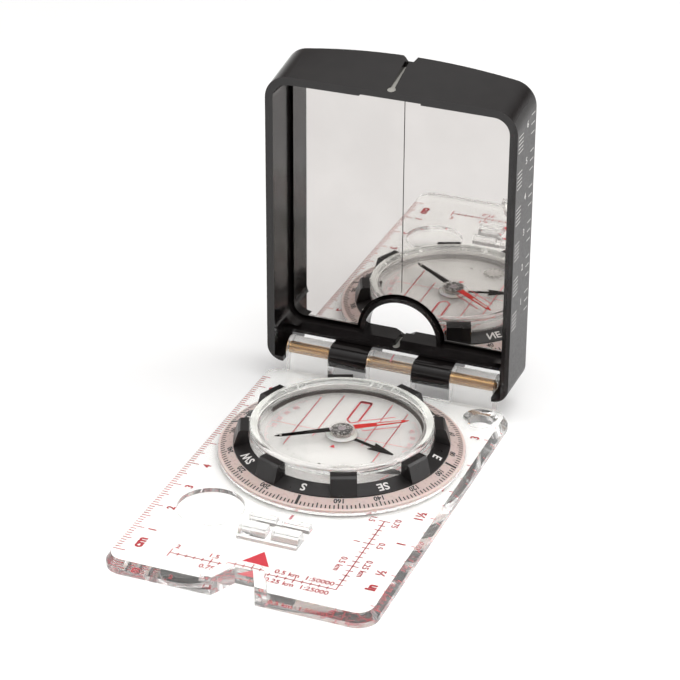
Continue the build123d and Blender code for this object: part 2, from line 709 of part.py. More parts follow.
# ================================================================ needle
with BuildPart() as needle_hub:
    with BuildSketch(Plane.XZ):
        with BuildLine():
            Polyline((hub_radius - hub_crown, hub_top), (0, hub_top), (0, jewel_top),
                     (jewel_radius, jewel_top), (jewel_radius, needle_z), (hub_radius - hub_wall, needle_z),
                     (hub_radius - hub_wall, hub_bottom), (hub_radius, hub_bottom),
                     (hub_radius, hub_top - hub_crown))
            RadiusArc((hub_radius, hub_top - hub_crown), (hub_radius - hub_crown, hub_top), -hub_crown)
        make_face()
    revolve(axis=Axis.Z)

with BuildPart() as needle_jewel:
    with BuildSketch(Plane.XY.offset(needle_z)):
        Circle(jewel_radius)
    extrude(amount=jewel_height)
    with BuildSketch(Plane.XY.offset(needle_z)):
        Circle(jewel_cup)
    extrude(amount=jewel_cup, taper=jewel_taper, mode=Mode.SUBTRACT)

with BuildPart() as needle_magnet:
    with BuildSketch(Plane.XY.offset(needle_z - magnet_height)):
        Circle(hub_radius - hub_wall)
        Circle(jewel_radius, mode=Mode.SUBTRACT)
    extrude(amount=magnet_height)


def needle_blade(sign):
    """One half of the needle: a slim plate with a pointed end, fixed to the hub's side."""
    root_half = needle_width / 2
    shoulder_half = needle_width * needle_taper / 2
    shoulder = needle_reach * needle_shoulder
    with BuildSketch() as outline:
        with BuildLine():
            Polyline((sign * hub_radius / 2, root_half), (sign * shoulder, shoulder_half),
                     (sign * needle_reach, 0), (sign * shoulder, -shoulder_half),
                     (sign * hub_radius / 2, -root_half), close=True)
        make_face()
        Circle(hub_radius, mode=Mode.SUBTRACT)
    return outline.sketch_local


needle_plane = Plane.XY.offset(needle_z).rotated((0, 0, needle_heading))
with BuildPart() as needle_north:
    with BuildSketch(needle_plane):
        add(needle_blade(1))
    extrude(amount=needle_thickness)

with BuildPart() as needle_south:
    with BuildSketch(needle_plane):
        add(needle_blade(-1))
    extrude(amount=needle_thickness)

# ================================================================ export
pieces = {
    "baseplate": baseplate, "hinge_pin": hinge_pin,
    "lid_frame": lid_frame, "mirror": mirror, "mirror_adhesive": mirror_adhesive,
    "upper_sight_inlay": upper_sight_inlay, "lower_sight_inlay": lower_sight_inlay,
    "degree_ring": degree_ring, "bezel_ring": bezel_ring, "capsule_cup": capsule_cup,
    "capsule_window": capsule_window, "retaining_ring": retaining_ring,
    "pivot_base": pivot_base, "pivot_pin": pivot_pin,
    "declination_disc": declination_disc, "declination_screw": declination_screw,
    "clinometer_pointer": clinometer_pointer,
    "needle_hub": needle_hub, "needle_jewel": needle_jewel, "needle_magnet": needle_magnet,
    "needle_north": needle_north, "needle_south": needle_south,
}
for name, piece in pieces.items():
    piece.part.label = name
    export_step(piece.part, f"parts/{name}.step")
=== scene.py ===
"""Looks of a mirror sighting compass: clear plate with red print, liquid capsule, mirror lid.

Metres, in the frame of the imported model: the origin is on the underside beneath the dial's centre,
+X to the user's right, +Y towards the hinge, +Z up. Sizes in the settings are millimetres.
"""
from math import atan2, cos, hypot, pi, radians, sin

import bpy
from bpy.props import FloatProperty, FloatVectorProperty, IntProperty
from mathutils import Matrix, Vector


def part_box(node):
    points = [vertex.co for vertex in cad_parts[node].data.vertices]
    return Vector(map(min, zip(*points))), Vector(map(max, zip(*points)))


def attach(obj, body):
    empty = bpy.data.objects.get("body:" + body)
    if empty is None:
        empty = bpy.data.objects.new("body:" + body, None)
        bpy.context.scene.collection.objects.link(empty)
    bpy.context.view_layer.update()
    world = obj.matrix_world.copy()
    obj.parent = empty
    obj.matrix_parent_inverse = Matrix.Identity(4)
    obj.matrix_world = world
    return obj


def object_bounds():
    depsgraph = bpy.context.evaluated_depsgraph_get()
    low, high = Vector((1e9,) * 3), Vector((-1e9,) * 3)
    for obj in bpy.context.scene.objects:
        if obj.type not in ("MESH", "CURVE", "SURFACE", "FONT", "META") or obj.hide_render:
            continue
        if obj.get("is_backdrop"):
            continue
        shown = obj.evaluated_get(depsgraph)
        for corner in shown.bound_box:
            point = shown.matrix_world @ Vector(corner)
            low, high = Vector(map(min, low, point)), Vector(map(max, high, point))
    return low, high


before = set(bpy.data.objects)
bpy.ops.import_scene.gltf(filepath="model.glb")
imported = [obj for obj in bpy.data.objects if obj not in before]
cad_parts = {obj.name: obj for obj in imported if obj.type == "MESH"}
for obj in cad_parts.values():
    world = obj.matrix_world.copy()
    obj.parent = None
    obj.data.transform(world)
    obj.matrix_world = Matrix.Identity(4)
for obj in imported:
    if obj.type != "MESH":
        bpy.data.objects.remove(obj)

bl_info = {
    "name": "Mirror Sighting Compass",
    "version": (1, 0, 0),
    "blender": (4, 5, 0),
    "location": "View3D > Sidebar > Compass",
    "description": "Finishes and prints a clear baseplate compass with a mirror lid",
    "category": "Add Mesh",
}

MM = 0.001
PRINT_LIFT = 0.03      # from the plate's underside up to the middle of its print, mm
FLAT = (0, 0, 0)       # lettering that reads from the plate's front
SIDEWAYS = (0, 0, pi / 2)
CLEAR_IOR = 1.49       # acrylic
BLACK_IOR = 1.53       # ABS
IMMERSED_IOR = 1.08    # lacquer seen through the liquid, where its gloss nearly goes


def linear(hex_code):
    """An sRGB hex colour as the linear RGBA that shaders take."""
    channels = [int(hex_code[i:i + 2], 16) / 255 for i in (0, 2, 4)]
    return (*[c / 12.92 if c <= 0.04045 else ((c + 0.055) / 1.055) ** 2.4 for c in channels], 1.0)


def colour_setting(name, description, hex_code):
    """A colour that the sidebar shows."""
    return FloatVectorProperty(name=name, description=description, subtype="COLOR", size=4,
                               min=0, max=1, default=linear(hex_code))


def size_setting(name, description, default):
    """A size in millimetres that the sidebar shows."""
    return FloatProperty(name=name, description=description, default=default, min=0)


# ---- settings
class FinishSettings(bpy.types.PropertyGroup):
    """Colours of the compass's own plastics and metals."""
    acrylic_tint: colour_setting("Acrylic", "Faint tint of the clear mouldings", "fefefd")
    black_plastic: colour_setting("Black plastic", "Lid and bezel", "171414")
    ring_plastic: colour_setting("Degree ring", "Pink-grey plastic of the degree ring", "cbb6b0")
    # painted highlight: the paler band where light falls on the degree ring's thin outer edge
    ring_edge: colour_setting("Degree ring edge", "Paler outer band", "dfccc6")
    brass: colour_setting("Brass", "Hinge pin", "ecc183")
    luminous: colour_setting("Luminous filler", "Luminous paint by daylight", "a3a19b")


class PrintSettings(bpy.types.PropertyGroup):
    """Inks and sizes of the printing."""
    red_ink: colour_setting("Red ink", "Rulers and map scales", "bf2a37")
    arrow_ink: colour_setting("Arrow ink", "Direction triangle", "dc263c")
    pale_ink: colour_setting("Pale ink", "Index line and declination scale", "dd8a94")
    black_ink: colour_setting("Black ink", "Degree ring", "2b2625")
    white_ink: colour_setting("White ink", "Bezel letters and lid scale", "dedbd8")
    ruler_start: size_setting("Ruler start", "Front edge of the plate to the rulers' zero", 7.0)
    line_width: size_setting("Line width", "Width of a fine printed line", 0.24)
    digit_height: size_setting("Digit height", "Height of the ruler digits", 1.9)
    ink_thickness: size_setting("Ink thickness", "Thickness of the ink", 0.02)


class DialSettings(bpy.types.PropertyGroup):
    """What turns under the capsule's window."""
    degree_step: IntProperty(name="Degree step", description="Degrees from tick to tick", default=2)
    meridian_gap: size_setting("Meridian gap", "From meridian to meridian", 5.0)
    arrow_width: size_setting("Orienting arrow", "Width between its lines", 2.9)
    rim_teeth: IntProperty(name="Rim teeth", default=160,
                           description="Teeth in a full turn of the disc's rim")


# ---- shader helpers
def add_node(tree, kind, inputs=None, **settings):
    """Adds a shader node, sets its settings and fills its inputs with values or links."""
    made = tree.nodes.new(kind)
    for name, value in settings.items():
        setattr(made, name, value)
    for socket, value in (inputs or {}).items():
        if isinstance(value, bpy.types.NodeSocket):
            tree.links.new(value, made.inputs[socket])
        else:
            made.inputs[socket].default_value = value
    return made


def new_material(name):
    """An empty node material, and the Object coordinates that its patterns read."""
    material = bpy.data.materials.new(name)
    material.use_nodes = True
    tree = material.node_tree
    tree.nodes.clear()
    place = add_node(tree, "ShaderNodeTexCoord").outputs["Object"]
    return material, tree, place


def show_surface(tree, shader):
    """Makes a shader the material's surface."""
    add_node(tree, "ShaderNodeOutputMaterial", {"Surface": shader.outputs[0]})


def speckle(tree, place, size_mm, low, high, detail=4.0):
    """A value that wanders between low and high with spots of a real size."""
    noise = add_node(tree, "ShaderNodeTexNoise",
                     {"Vector": place, "Scale": 1 / (size_mm * MM), "Detail": detail})
    return add_node(tree, "ShaderNodeMapRange",
                    {"Value": noise.outputs["Fac"], "From Min": 0.3, "From Max": 0.7,
                     "To Min": low, "To Max": high}).outputs["Result"]


def relief(tree, place, size_mm, height_mm, strength=1.0):
    """A bumped normal with grain of a real size and height."""
    noise = add_node(tree, "ShaderNodeTexNoise",
                     {"Vector": place, "Scale": 1 / (size_mm * MM), "Detail": 3.0})
    return add_node(tree, "ShaderNodeBump",
                    {"Height": noise.outputs["Fac"], "Distance": height_mm * MM,
                     "Strength": strength}).outputs["Normal"]


def shade_between(tree, amount, low_colour, high_colour):
    """A colour that goes from one to the other with an amount from 0 to 1."""
    return add_node(tree, "ShaderNodeMix", {"Factor": amount, 6: low_colour, 7: high_colour},
                    data_type="RGBA").outputs[2]


def darker(colour, share):
    """A linear colour at a share of its brightness."""
    return (*[c * share for c in colour[:3]], 1.0)


# ---- materials
def polished_acrylic(name, tint, ior=CLEAR_IOR, roughness=0.012, ripple_mm=0.0012, haze=0.0,
                     edge_haze=0.0):
    """Injection-moulded acrylic (PMMA), polished: clear, bright edges, faint flow ripples.

    Rays from the lamps go straight through, so that the print beneath is lit. Haze scatters a
    share of the light, as worn or satin mouldings do, and edge haze does so on upright faces.
    """
    material, tree, place = new_material(name)
    facing = add_node(tree, "ShaderNodeSeparateXYZ",
                      {0: add_node(tree, "ShaderNodeNewGeometry").outputs["True Normal"]})
    level = add_node(tree, "ShaderNodeMath", {0: facing.outputs["Z"]}, operation="ABSOLUTE")
    clearness = add_node(tree, "ShaderNodeMapRange",
                         {"Value": level.outputs[0], "From Min": 0.2, "From Max": 0.7,
                          "To Min": 1.0 - edge_haze, "To Max": 1.0 - haze}).outputs["Result"]
    shader = add_node(tree, "ShaderNodeBsdfPrincipled",
                      {"Base Color": tint, "IOR": ior, "Transmission Weight": clearness,
                       "Roughness": speckle(tree, place, 6.0, roughness * 0.6, roughness * 1.6),
                       "Normal": relief(tree, place, 5.0, ripple_mm)})
    to_lamp = add_node(tree, "ShaderNodeBsdfTransparent", {"Color": tint})
    mixed = add_node(tree, "ShaderNodeMixShader",
                     {0: add_node(tree, "ShaderNodeLightPath").outputs["Is Shadow Ray"],
                      1: shader.outputs[0], 2: to_lamp.outputs[0]})
    show_surface(tree, mixed)
    return material


def moulded_black(name, colour, rough_low, rough_high, grain_mm, grain_height_mm):
    """Black ABS from a spark-eroded mould: satin, with a fine even grain a little worn."""
    material, tree, place = new_material(name)
    tone = shade_between(tree, speckle(tree, place, 3.0, 0.0, 1.0), darker(colour, 0.75),
                         darker(colour, 1.25))
    shader = add_node(tree, "ShaderNodeBsdfPrincipled",
                      {"Base Color": tone, "IOR": BLACK_IOR,
                       "Roughness": speckle(tree, place, 4.0, rough_low, rough_high),
                       "Normal": relief(tree, place, grain_mm, grain_height_mm)})
    show_surface(tree, shader)
    return material


def lid_plastic(name, colour, half_width):
    """Black ABS lid: grained satin outside, glossy where the mould was polished inside."""
    polished_from, grained_from = 1.6 * MM, 0.6 * MM      # in from the side walls' faces
    material, tree, place = new_material(name)
    axes = add_node(tree, "ShaderNodeSeparateXYZ", {0: place})
    across = add_node(tree, "ShaderNodeMath", {0: axes.outputs["X"]}, operation="ABSOLUTE")
    outside = add_node(tree, "ShaderNodeMapRange",
                       {"Value": across.outputs[0], "From Min": half_width - polished_from,
                        "From Max": half_width - grained_from}).outputs["Result"]
    grain = speckle(tree, place, 0.5, 0.30, 0.42)
    polish = speckle(tree, place, 5.0, 0.10, 0.20)
    roughness = add_node(tree, "ShaderNodeMix", {"Factor": outside, 2: polish, 3: grain})
    tone = shade_between(tree, speckle(tree, place, 3.5, 0.0, 1.0), darker(colour, 0.8),
                         darker(colour, 1.2))
    shader = add_node(tree, "ShaderNodeBsdfPrincipled",
                      {"Base Color": tone, "IOR": BLACK_IOR, "Roughness": roughness.outputs[0],
                       "Normal": relief(tree, place, 0.35, 0.012)})
    show_surface(tree, shader)
    return material


def silvered_mirror(name):
    """Silvered acrylic sheet: a true mirror, very slightly smeared by fingers."""
    material, tree, place = new_material(name)
    shader = add_node(tree, "ShaderNodeBsdfPrincipled",
                      {"Base Color": shade_between(tree, speckle(tree, place, 14.0, 0.0, 1.0),
                                                   linear("d2cfcd"), linear("d8d5d3")),
                       "Metallic": 1.0,
                       "Roughness": speckle(tree, place, 9.0, 0.008, 0.03, 6.0)})
    show_surface(tree, shader)
    return material


def drawn_metal(name, colour, roughness, stretch):
    """Drawn rod or sheet: metal with fine lines along its length."""
    material, tree, place = new_material(name)
    along = add_node(tree, "ShaderNodeMapping", {"Vector": place, "Scale": stretch}).outputs[0]
    shader = add_node(tree, "ShaderNodeBsdfPrincipled",
                      {"Base Color": shade_between(tree, speckle(tree, along, 0.4, 0.0, 1.0),
                                                   darker(colour, 0.8), colour),
                       "Metallic": 1.0,
                       "Roughness": speckle(tree, along, 0.3, roughness * 0.7, roughness * 1.4),
                       "Normal": relief(tree, along, 0.3, 0.004)})
    show_surface(tree, shader)
    return material


def screen_ink(name, colour, roughness=0.45, ior=1.5):
    """Screen-printed ink or lacquer: slightly uneven density and a dull sheen.

    Under the capsule's liquid its gloss nearly goes, so it gets a low IOR there.
    """
    material, tree, place = new_material(name)
    tone = shade_between(tree, speckle(tree, place, 0.6, 0.0, 1.0), darker(colour, 0.86), colour)
    shader = add_node(tree, "ShaderNodeBsdfPrincipled",
                      {"Base Color": tone, "IOR": ior,
                       "Roughness": speckle(tree, place, 0.4, roughness * 0.8, roughness * 1.2),
                       "Normal": relief(tree, place, 0.12, 0.003)})
    show_surface(tree, shader)
    return material


def ring_plastic(name, inner_colour, highlight_and_print_colour, band_start, band_end, ior=1.48):
    """Satin plastic round the dial's axis whose colour changes at a radius.

    The translucent acetal ring is pink-grey; its paler outer band is painted highlight on its thin
    edge.
    """
    material, tree, place = new_material(name)
    flat = add_node(tree, "ShaderNodeVectorMath", {0: place, 1: (1, 1, 0)}, operation="MULTIPLY")
    radius = add_node(tree, "ShaderNodeVectorMath", {0: flat.outputs[0]}, operation="LENGTH")
    band = add_node(tree, "ShaderNodeMapRange",
                    {"Value": radius.outputs["Value"], "From Min": band_start,
                     "From Max": band_end}).outputs["Result"]
    cloud = shade_between(tree, speckle(tree, place, 2.5, 0.0, 1.0), darker(inner_colour, 0.95),
                          inner_colour)
    # towards the outer radius the colour is painted highlight on the degree ring, and black print on
    # the clinometer pointer
    shader = add_node(tree, "ShaderNodeBsdfPrincipled",
                      {"Base Color": shade_between(tree, band, cloud, highlight_and_print_colour),
                       "IOR": ior, "Roughness": speckle(tree, place, 0.8, 0.24, 0.36),
                       "Subsurface Weight": 0.25, "Subsurface Scale": 1.5 * MM,
                       "Normal": relief(tree, place, 0.5, 0.004)})
    show_surface(tree, shader)
    return material


def immersed_clear(name, tint, body_share, roughness=0.05):
    """Clear plastic under the liquid, which hides its edges: a faint film of light stays."""
    material, tree, place = new_material(name)
    film = add_node(tree, "ShaderNodeBsdfPrincipled",
                    {"Base Color": tint, "IOR": 1.1,
                     "Roughness": speckle(tree, place, 1.5, roughness, roughness * 2)})
    through = add_node(tree, "ShaderNodeBsdfTransparent", {"Color": tint})
    mixed = add_node(tree, "ShaderNodeMixShader",
                     {0: body_share, 1: through.outputs[0], 2: film.outputs[0]})
    show_surface(tree, mixed)
    return material


def mottled_foil(name):
    """Sintered magnet under crinkled bright foil: painted sparkle and dark reflections in hard
    patches.
    """
    spot_size = 0.75 * MM
    material, tree, place = new_material(name)
    cells = add_node(tree, "ShaderNodeTexVoronoi", {"Vector": place, "Scale": 1 / spot_size})
    painted_sparkle_mask = add_node(tree, "ShaderNodeMapRange",
                     {"Value": cells.outputs["Distance"], "From Min": 0.35,
                      "From Max": 0.5}).outputs["Result"]
    bump = add_node(tree, "ShaderNodeBump", {"Height": cells.outputs["Distance"],
                                             "Distance": 0.25 * MM, "Strength": 1.0})
    # white patches are painted sparkle highlights, dark patches are painted dark reflections
    shader = add_node(tree, "ShaderNodeBsdfPrincipled",
                      {"Base Color": shade_between(tree, painted_sparkle_mask, linear("ffffff"), linear("2b2826")),
                       "Metallic": 0.3, "Roughness": speckle(tree, place, 0.3, 0.15, 0.4),
                       "Normal": bump.outputs[0]})
    show_surface(tree, shader)
    return material


def seamless_paper(name, colour):
    """Pale studio paper: dull white with a faint cloudiness."""
    material, tree, place = new_material(name)
    shader = add_node(tree, "ShaderNodeBsdfPrincipled",
                      {"Base Color": shade_between(tree, speckle(tree, place, 40.0, 0.0, 1.0),
                                                   darker(colour, 0.99), colour),
                       "Roughness": 0.9, "Specular IOR Level": 0.1})
    show_surface(tree, shader)
    return material


# ---- modelling helpers
def start_piece(name):
    """An empty mesh at the origin, open in edit mode, that primitives are added to."""
    bpy.ops.object.select_all(action="DESELECT")
    bpy.ops.object.add(type="MESH", location=(0, 0, 0))
    piece = bpy.context.object
    piece.name = name
    bpy.ops.object.mode_set(mode="EDIT")
    return piece


def finish_piece(piece, material, body):
    """Closes a piece: merges its doubles, turns its faces out and fixes it to its body."""
    if bpy.context.mode != "EDIT_MESH":
        bpy.ops.object.mode_set(mode="EDIT")
    bpy.ops.mesh.select_all(action="SELECT")
    bpy.ops.mesh.remove_doubles(threshold=0.0005 * MM)
    bpy.ops.mesh.normals_make_consistent(inside=False)
    bpy.ops.object.mode_set(mode="OBJECT")
    piece.data.materials.clear()
    piece.data.materials.append(material)
    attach(piece, body)


def around(radius, turn, level):
    """The point at a radius, a turn and a level round the dial's axis."""
    return radius * cos(turn), radius * sin(turn), level


def compass_turn(degree):
    """The turn from +X of a bearing that counts clockwise from +Y."""
    return pi / 2 - radians(degree)


def tick_length(mark, tens, fives, others):
    """The length of a ruler's tick, by its place in the count."""
    return tens if mark % 10 == 0 else fives if mark % 5 == 0 else others


def thicken(height):
    """Pulls the open piece's selected face up by a height in millimetres."""
    bpy.ops.mesh.extrude_region_move(TRANSFORM_OT_translate={"value": (0, 0, height * MM)})


def add_bar(centre, size, turn=FLAT):
    """One thin bar, such as a printed line, added to the open piece. Sizes in millimetres."""
    bpy.ops.mesh.primitive_cube_add(size=1, location=[c * MM for c in centre], rotation=turn,
                                    scale=[s * MM for s in size])


def add_dot(centre, radius, height, sides):
    """One round dot, added to the open piece. Sizes in millimetres."""
    bpy.ops.mesh.primitive_cylinder_add(vertices=sides, radius=radius * MM, depth=height * MM,
                                        location=[c * MM for c in centre])


def add_line(start, end, width, height, level):
    """One printed line from point to point at a level, added to the open piece."""
    middle = ((start[0] + end[0]) / 2, (start[1] + end[1]) / 2, level)
    length = hypot(end[0] - start[0], end[1] - start[1])
    heading = atan2(end[1] - start[1], end[0] - start[0])
    add_bar(middle, (length, width, height), (0, 0, heading))


def letter(text, height, centre, turn, thickness, weight=0.0):
    """One word or number as a mesh, its middle at centre, turned and as tall as asked (mm)."""
    digit_share = 0.7      # the height of the font's digits, as a share of its size
    bpy.ops.object.select_all(action="DESELECT")
    bpy.ops.object.text_add(location=(0, 0, 0))
    word = bpy.context.object
    word.data.body = text
    word.data.size = height * MM / digit_share
    word.data.extrude = thickness * MM / 2
    word.data.offset = weight * height * MM
    word.data.resolution_u = 3
    bpy.ops.object.convert(target="MESH")
    word = bpy.context.object
    corners = [Vector(c) for c in word.bound_box]
    middle = (corners[0] + corners[6]) / 2
    word.location = -middle
    bpy.ops.object.transform_apply(location=True, rotation=False, scale=False)
    word.rotation_euler = turn
    word.location = [c * MM for c in centre]
    bpy.ops.object.transform_apply(location=True, rotation=True, scale=True)
    return word


def join_words(name, words):
    """Joins words into one piece."""
    bpy.ops.object.select_all(action="DESELECT")
    for word in words:
        word.select_set(True)
    piece = bpy.context.view_layer.objects.active = words[0]
    bpy.ops.object.join()
    piece.name = piece.data.name = name
    return piece


def dress(node, material):
    """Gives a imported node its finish."""
    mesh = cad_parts[node].data
    mesh.materials.clear()
    mesh.materials.append(material)


def box_mm(node):
    """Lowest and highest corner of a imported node, in millimetres."""
    low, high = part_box(node)
    return low / MM, high / MM


# ---- stage
class COMPASS_OT_stage(bpy.types.Operator):
    """Pale floor, soft studio light and the camera"""
    bl_idname = "compass.stage"
    bl_label = "Stage and Camera"

    def execute(self, context):
        scene = context.scene
        scene.view_settings.view_transform = "Standard"
        scene.cycles.max_bounces = 24
        scene.cycles.transmission_bounces = 24
        scene.cycles.glossy_bounces = 10
        scene.cycles.transparent_max_bounces = 32
        low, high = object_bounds()
        # camera: place, heading to the left of +Y, dip below the horizon and a slight roll
        camera = bpy.data.objects.new("camera", bpy.data.cameras.new("camera"))
        scene.collection.objects.link(camera)
        scene.camera = camera
        camera.data.lens = 136.54
        camera.data.sensor_width = 36.0
        camera.data.clip_start = 0.01
        stand = (0.1937, -0.4930, 0.31675)
        heading, dip, roll = radians(21.51), radians(28.24), radians(0.27)
        camera.matrix_world = (Matrix.Translation(stand)
                               @ Matrix.Rotation(heading, 4, "Z")
                               @ Matrix.Rotation(pi / 2 - dip, 4, "X")
                               @ Matrix.Rotation(roll, 4, "Z"))
        # floor, a hair below the plate
        span, floor_gap = (high - low).length, 0.05 * MM
        bpy.ops.object.select_all(action="DESELECT")
        bpy.ops.mesh.primitive_grid_add(x_subdivisions=24, y_subdivisions=24, size=60 * span,
                                        location=(0, 0, low.z - floor_gap))
        floor = context.object
        floor.name = "floor"
        bpy.ops.object.transform_apply(location=True, rotation=False, scale=False)
        floor.data.materials.append(seamless_paper("seamless paper, matt", linear("fbfbfb")))
        floor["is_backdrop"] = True
        # soft light all round, bright at the horizon and overhead and dim between, and three lamps
        world = bpy.data.worlds.new("studio")
        scene.world = world
        world.use_nodes = True
        tree = world.node_tree
        tree.nodes.clear()
        sky = add_node(tree, "ShaderNodeTexCoord").outputs["Generated"]
        height = add_node(tree, "ShaderNodeSeparateXYZ", {0: sky}).outputs["Z"]
        dim_height = 0.45
        aside = add_node(tree, "ShaderNodeMath", {0: height, 1: dim_height}, operation="SUBTRACT")
        aside = add_node(tree, "ShaderNodeMath", {0: aside.outputs[0]}, operation="ABSOLUTE")
        bright = add_node(tree, "ShaderNodeMapRange",
                          {"Value": aside.outputs[0], "From Max": dim_height}).outputs["Result"]
        glow = shade_between(tree, bright, linear("827e7c"), linear("fffefd"))
        light = add_node(tree, "ShaderNodeBackground", {"Color": glow, "Strength": 0.9})
        add_node(tree, "ShaderNodeOutputWorld", {"Surface": light.outputs[0]})
        # name, place in metres, watts and width in metres
        lamps = (("overhead_softbox", (0.24, -0.12, 0.88), 4.6, 0.8),
                 ("left_softbox", (-0.75, -0.25, 0.45), 1.1, 0.5),
                 ("right_softbox", (0.7, 0.3, 0.35), 2.2, 0.5))
        for name, place, power, size in lamps:
            bpy.ops.object.light_add(type="AREA", location=place)
            lamp = context.object
            lamp.name = name
            lamp.data.energy = power
            lamp.data.size = size
            lamp.rotation_mode = "QUATERNION"
            lamp.rotation_quaternion = (-Vector(place)).to_track_quat("-Z", "Y")
        return {"FINISHED"}


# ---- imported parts
class COMPASS_OT_finish_base(bpy.types.Operator):
    """Clear acrylic baseplate and the brass hinge pin"""
    bl_idname = "compass.finish_base"
    bl_label = "Baseplate and Pin"

    def execute(self, context):
        look = context.scene.compass_finish
        dress("baseplate", polished_acrylic("acrylic PMMA, moulded and polished",
                                            look.acrylic_tint, haze=0.01, edge_haze=0.15))
        dress("hinge_pin", drawn_metal("brass rod, drawn", look.brass, 0.22, (0.05, 1, 1)))
        return {"FINISHED"}


class COMPASS_OT_finish_lid(bpy.types.Operator):
    """Black lid, mirror, its adhesive and the luminous sight marks"""
    bl_idname = "compass.finish_lid"
    bl_label = "Lid and Mirror"

    def execute(self, context):
        look = context.scene.compass_finish
        half_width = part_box("lid_frame")[1].x
        dress("lid_frame", lid_plastic("ABS, moulded, grained outside", look.black_plastic,
                                       half_width))
        dress("mirror", silvered_mirror("acrylic mirror, silvered"))
        dress("mirror_adhesive", screen_ink("acrylic foam tape, die cut", linear("cfcac3"), 0.8))
        luminous = screen_ink("luminous filler, cast in the grooves", look.luminous, 0.7)
        dress("upper_sight_inlay", luminous)
        dress("lower_sight_inlay", luminous)
        return {"FINISHED"}


class COMPASS_OT_finish_dial(bpy.types.Operator):
    """Degree ring, bezel, capsule and what is fixed in it"""
    bl_idname = "compass.finish_dial"
    bl_label = "Dial"

    def execute(self, context):
        look = context.scene.compass_finish
        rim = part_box("degree_ring")[1].x
        # the paler band near the rim is painted highlight
        highlight_from, highlight_to = rim - 0.7 * MM, rim - 0.3 * MM
        dress("degree_ring", ring_plastic("acetal, moulded, translucent", look.ring_plastic,
                                          look.ring_edge, highlight_from, highlight_to))
        dress("bezel_ring", moulded_black("ABS, moulded, fine grain", look.black_plastic,
                                          0.26, 0.42, 0.3, 0.010))
        dress("capsule_cup", polished_acrylic("acrylic PMMA, capsule cup, slightly satin",
                                              look.acrylic_tint, ripple_mm=0.0004, haze=0.3,
                                              edge_haze=0.07))
        dress("capsule_window", polished_acrylic("acrylic PMMA, capsule window, polished",
                                                 look.acrylic_tint, ripple_mm=0.0006,
                                                 edge_haze=0.05))
        dress("retaining_ring", immersed_clear("polypropylene ring, natural",
                                               linear("f7f5f4"), 0.85, 0.3))
        dress("pivot_base", immersed_clear("acrylic pivot post, immersed", linear("f6f4f2"), 0.12))
        dress("pivot_pin", drawn_metal("steel, ground", linear("b4b2b0"), 0.2, (1, 1, 0.1)))
        dress("declination_disc", immersed_clear("acrylic disc, immersed", linear("ffffff"), 0.04))
        dress("declination_screw", drawn_metal("brass, turned, nickel plated", linear("f1efec"),
                                               0.5, (1, 1, 0.1)))
        return {"FINISHED"}


class COMPASS_OT_finish_needle(bpy.types.Operator):
    """Needle, its hub, magnet and jewel, and the clinometer pointer"""
    bl_idname = "compass.finish_needle"
    bl_label = "Needle and Pointer"

    def execute(self, context):
        black = linear("0c0b0b")
        dress("needle_north", screen_ink("steel sheet, red lacquer", linear("dc2f2c"), 0.3,
                                         IMMERSED_IOR))
        dress("needle_south", screen_ink("steel sheet, black lacquer", black, 0.3, IMMERSED_IOR))
        # the pointer is white round the hub and black beyond it
        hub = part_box("needle_hub")[1].x
        dress("clinometer_pointer", ring_plastic("polyester film, black printed arrow",
                                                 linear("f6f4f2"), black, hub + 0.7 * MM,
                                                 hub + 1.0 * MM, IMMERSED_IOR))
        dress("needle_hub", immersed_clear("acrylic hub, immersed", linear("fbfaf9"), 0.07, 0.03))
        dress("needle_jewel", immersed_clear("sapphire cup, polished", linear("efe6ee"), 0.3, 0.03))
        dress("needle_magnet", mottled_foil("magnet, sintered, bright foil"))
        return {"FINISHED"}


# ---- print on the baseplate
class COMPASS_OT_print_rulers(bpy.types.Operator):
    """Centimetre ruler along the left edge and inch ruler along the right, under the plate"""
    bl_idname = "compass.print_rulers"
    bl_label = "Rulers"

    def execute(self, context):
        look = context.scene.compass_print
        ink = screen_ink("screen ink, red, under the plate", look.red_ink)
        low, high = box_mm("baseplate")
        thick, fine = look.ink_thickness, look.line_width
        level = low.z + PRINT_LIFT
        zero = low.y + look.ruler_start
        left_edge, right_edge = low.x + 0.25, high.x - 0.35
        tick_gap, tick_count = 1.0, 86                  # millimetres
        inch_tick_gap, inch_tick_count = 1.27, 66       # twentieths of an inch
        digit_inset, inch_inset, unit_inset = 5.0, 4.9, 4.9      # in from the ticks' ends
        half_inch = 12.7
        ticks = start_piece("ruler_ticks")
        for mark in range(tick_count):
            length = tick_length(mark, 3.0, 2.2, 1.4)
            add_bar((left_edge + length / 2, zero + mark * tick_gap, level),
                    (length, fine, thick))
        for mark in range(inch_tick_count):
            length = tick_length(mark, 2.5, 1.9, 0.9)
            add_bar((right_edge - length / 2, zero + mark * inch_tick_gap, level),
                    (length, fine, thick))
        finish_piece(ticks, ink, "base")
        small, middling, tall = (look.digit_height * share for share in (1, 1.1, 1.25))
        # text, height, place across the plate, place along it from the zero, extra weight
        rows = [(str(number), small, left_edge + digit_inset, 10 * number, 0.04)
                for number in range(1, 9)]
        rows += [(text, middling, right_edge - inch_inset, half_inch * (place + 1), 0.04)
                 for place, text in enumerate(("½", "1", "1½", "2", "2½", "3"))]
        rows += [("cm", tall, left_edge + unit_inset, 4.2, 0.07),
                 ("in", tall, right_edge - unit_inset, 6.6, 0.07)]
        words = [letter(text, height, (across, zero + along, level), SIDEWAYS, thick, weight)
                 for text, height, across, along, weight in rows]
        finish_piece(join_words("ruler_numbers", words), ink, "base")
        return {"FINISHED"}


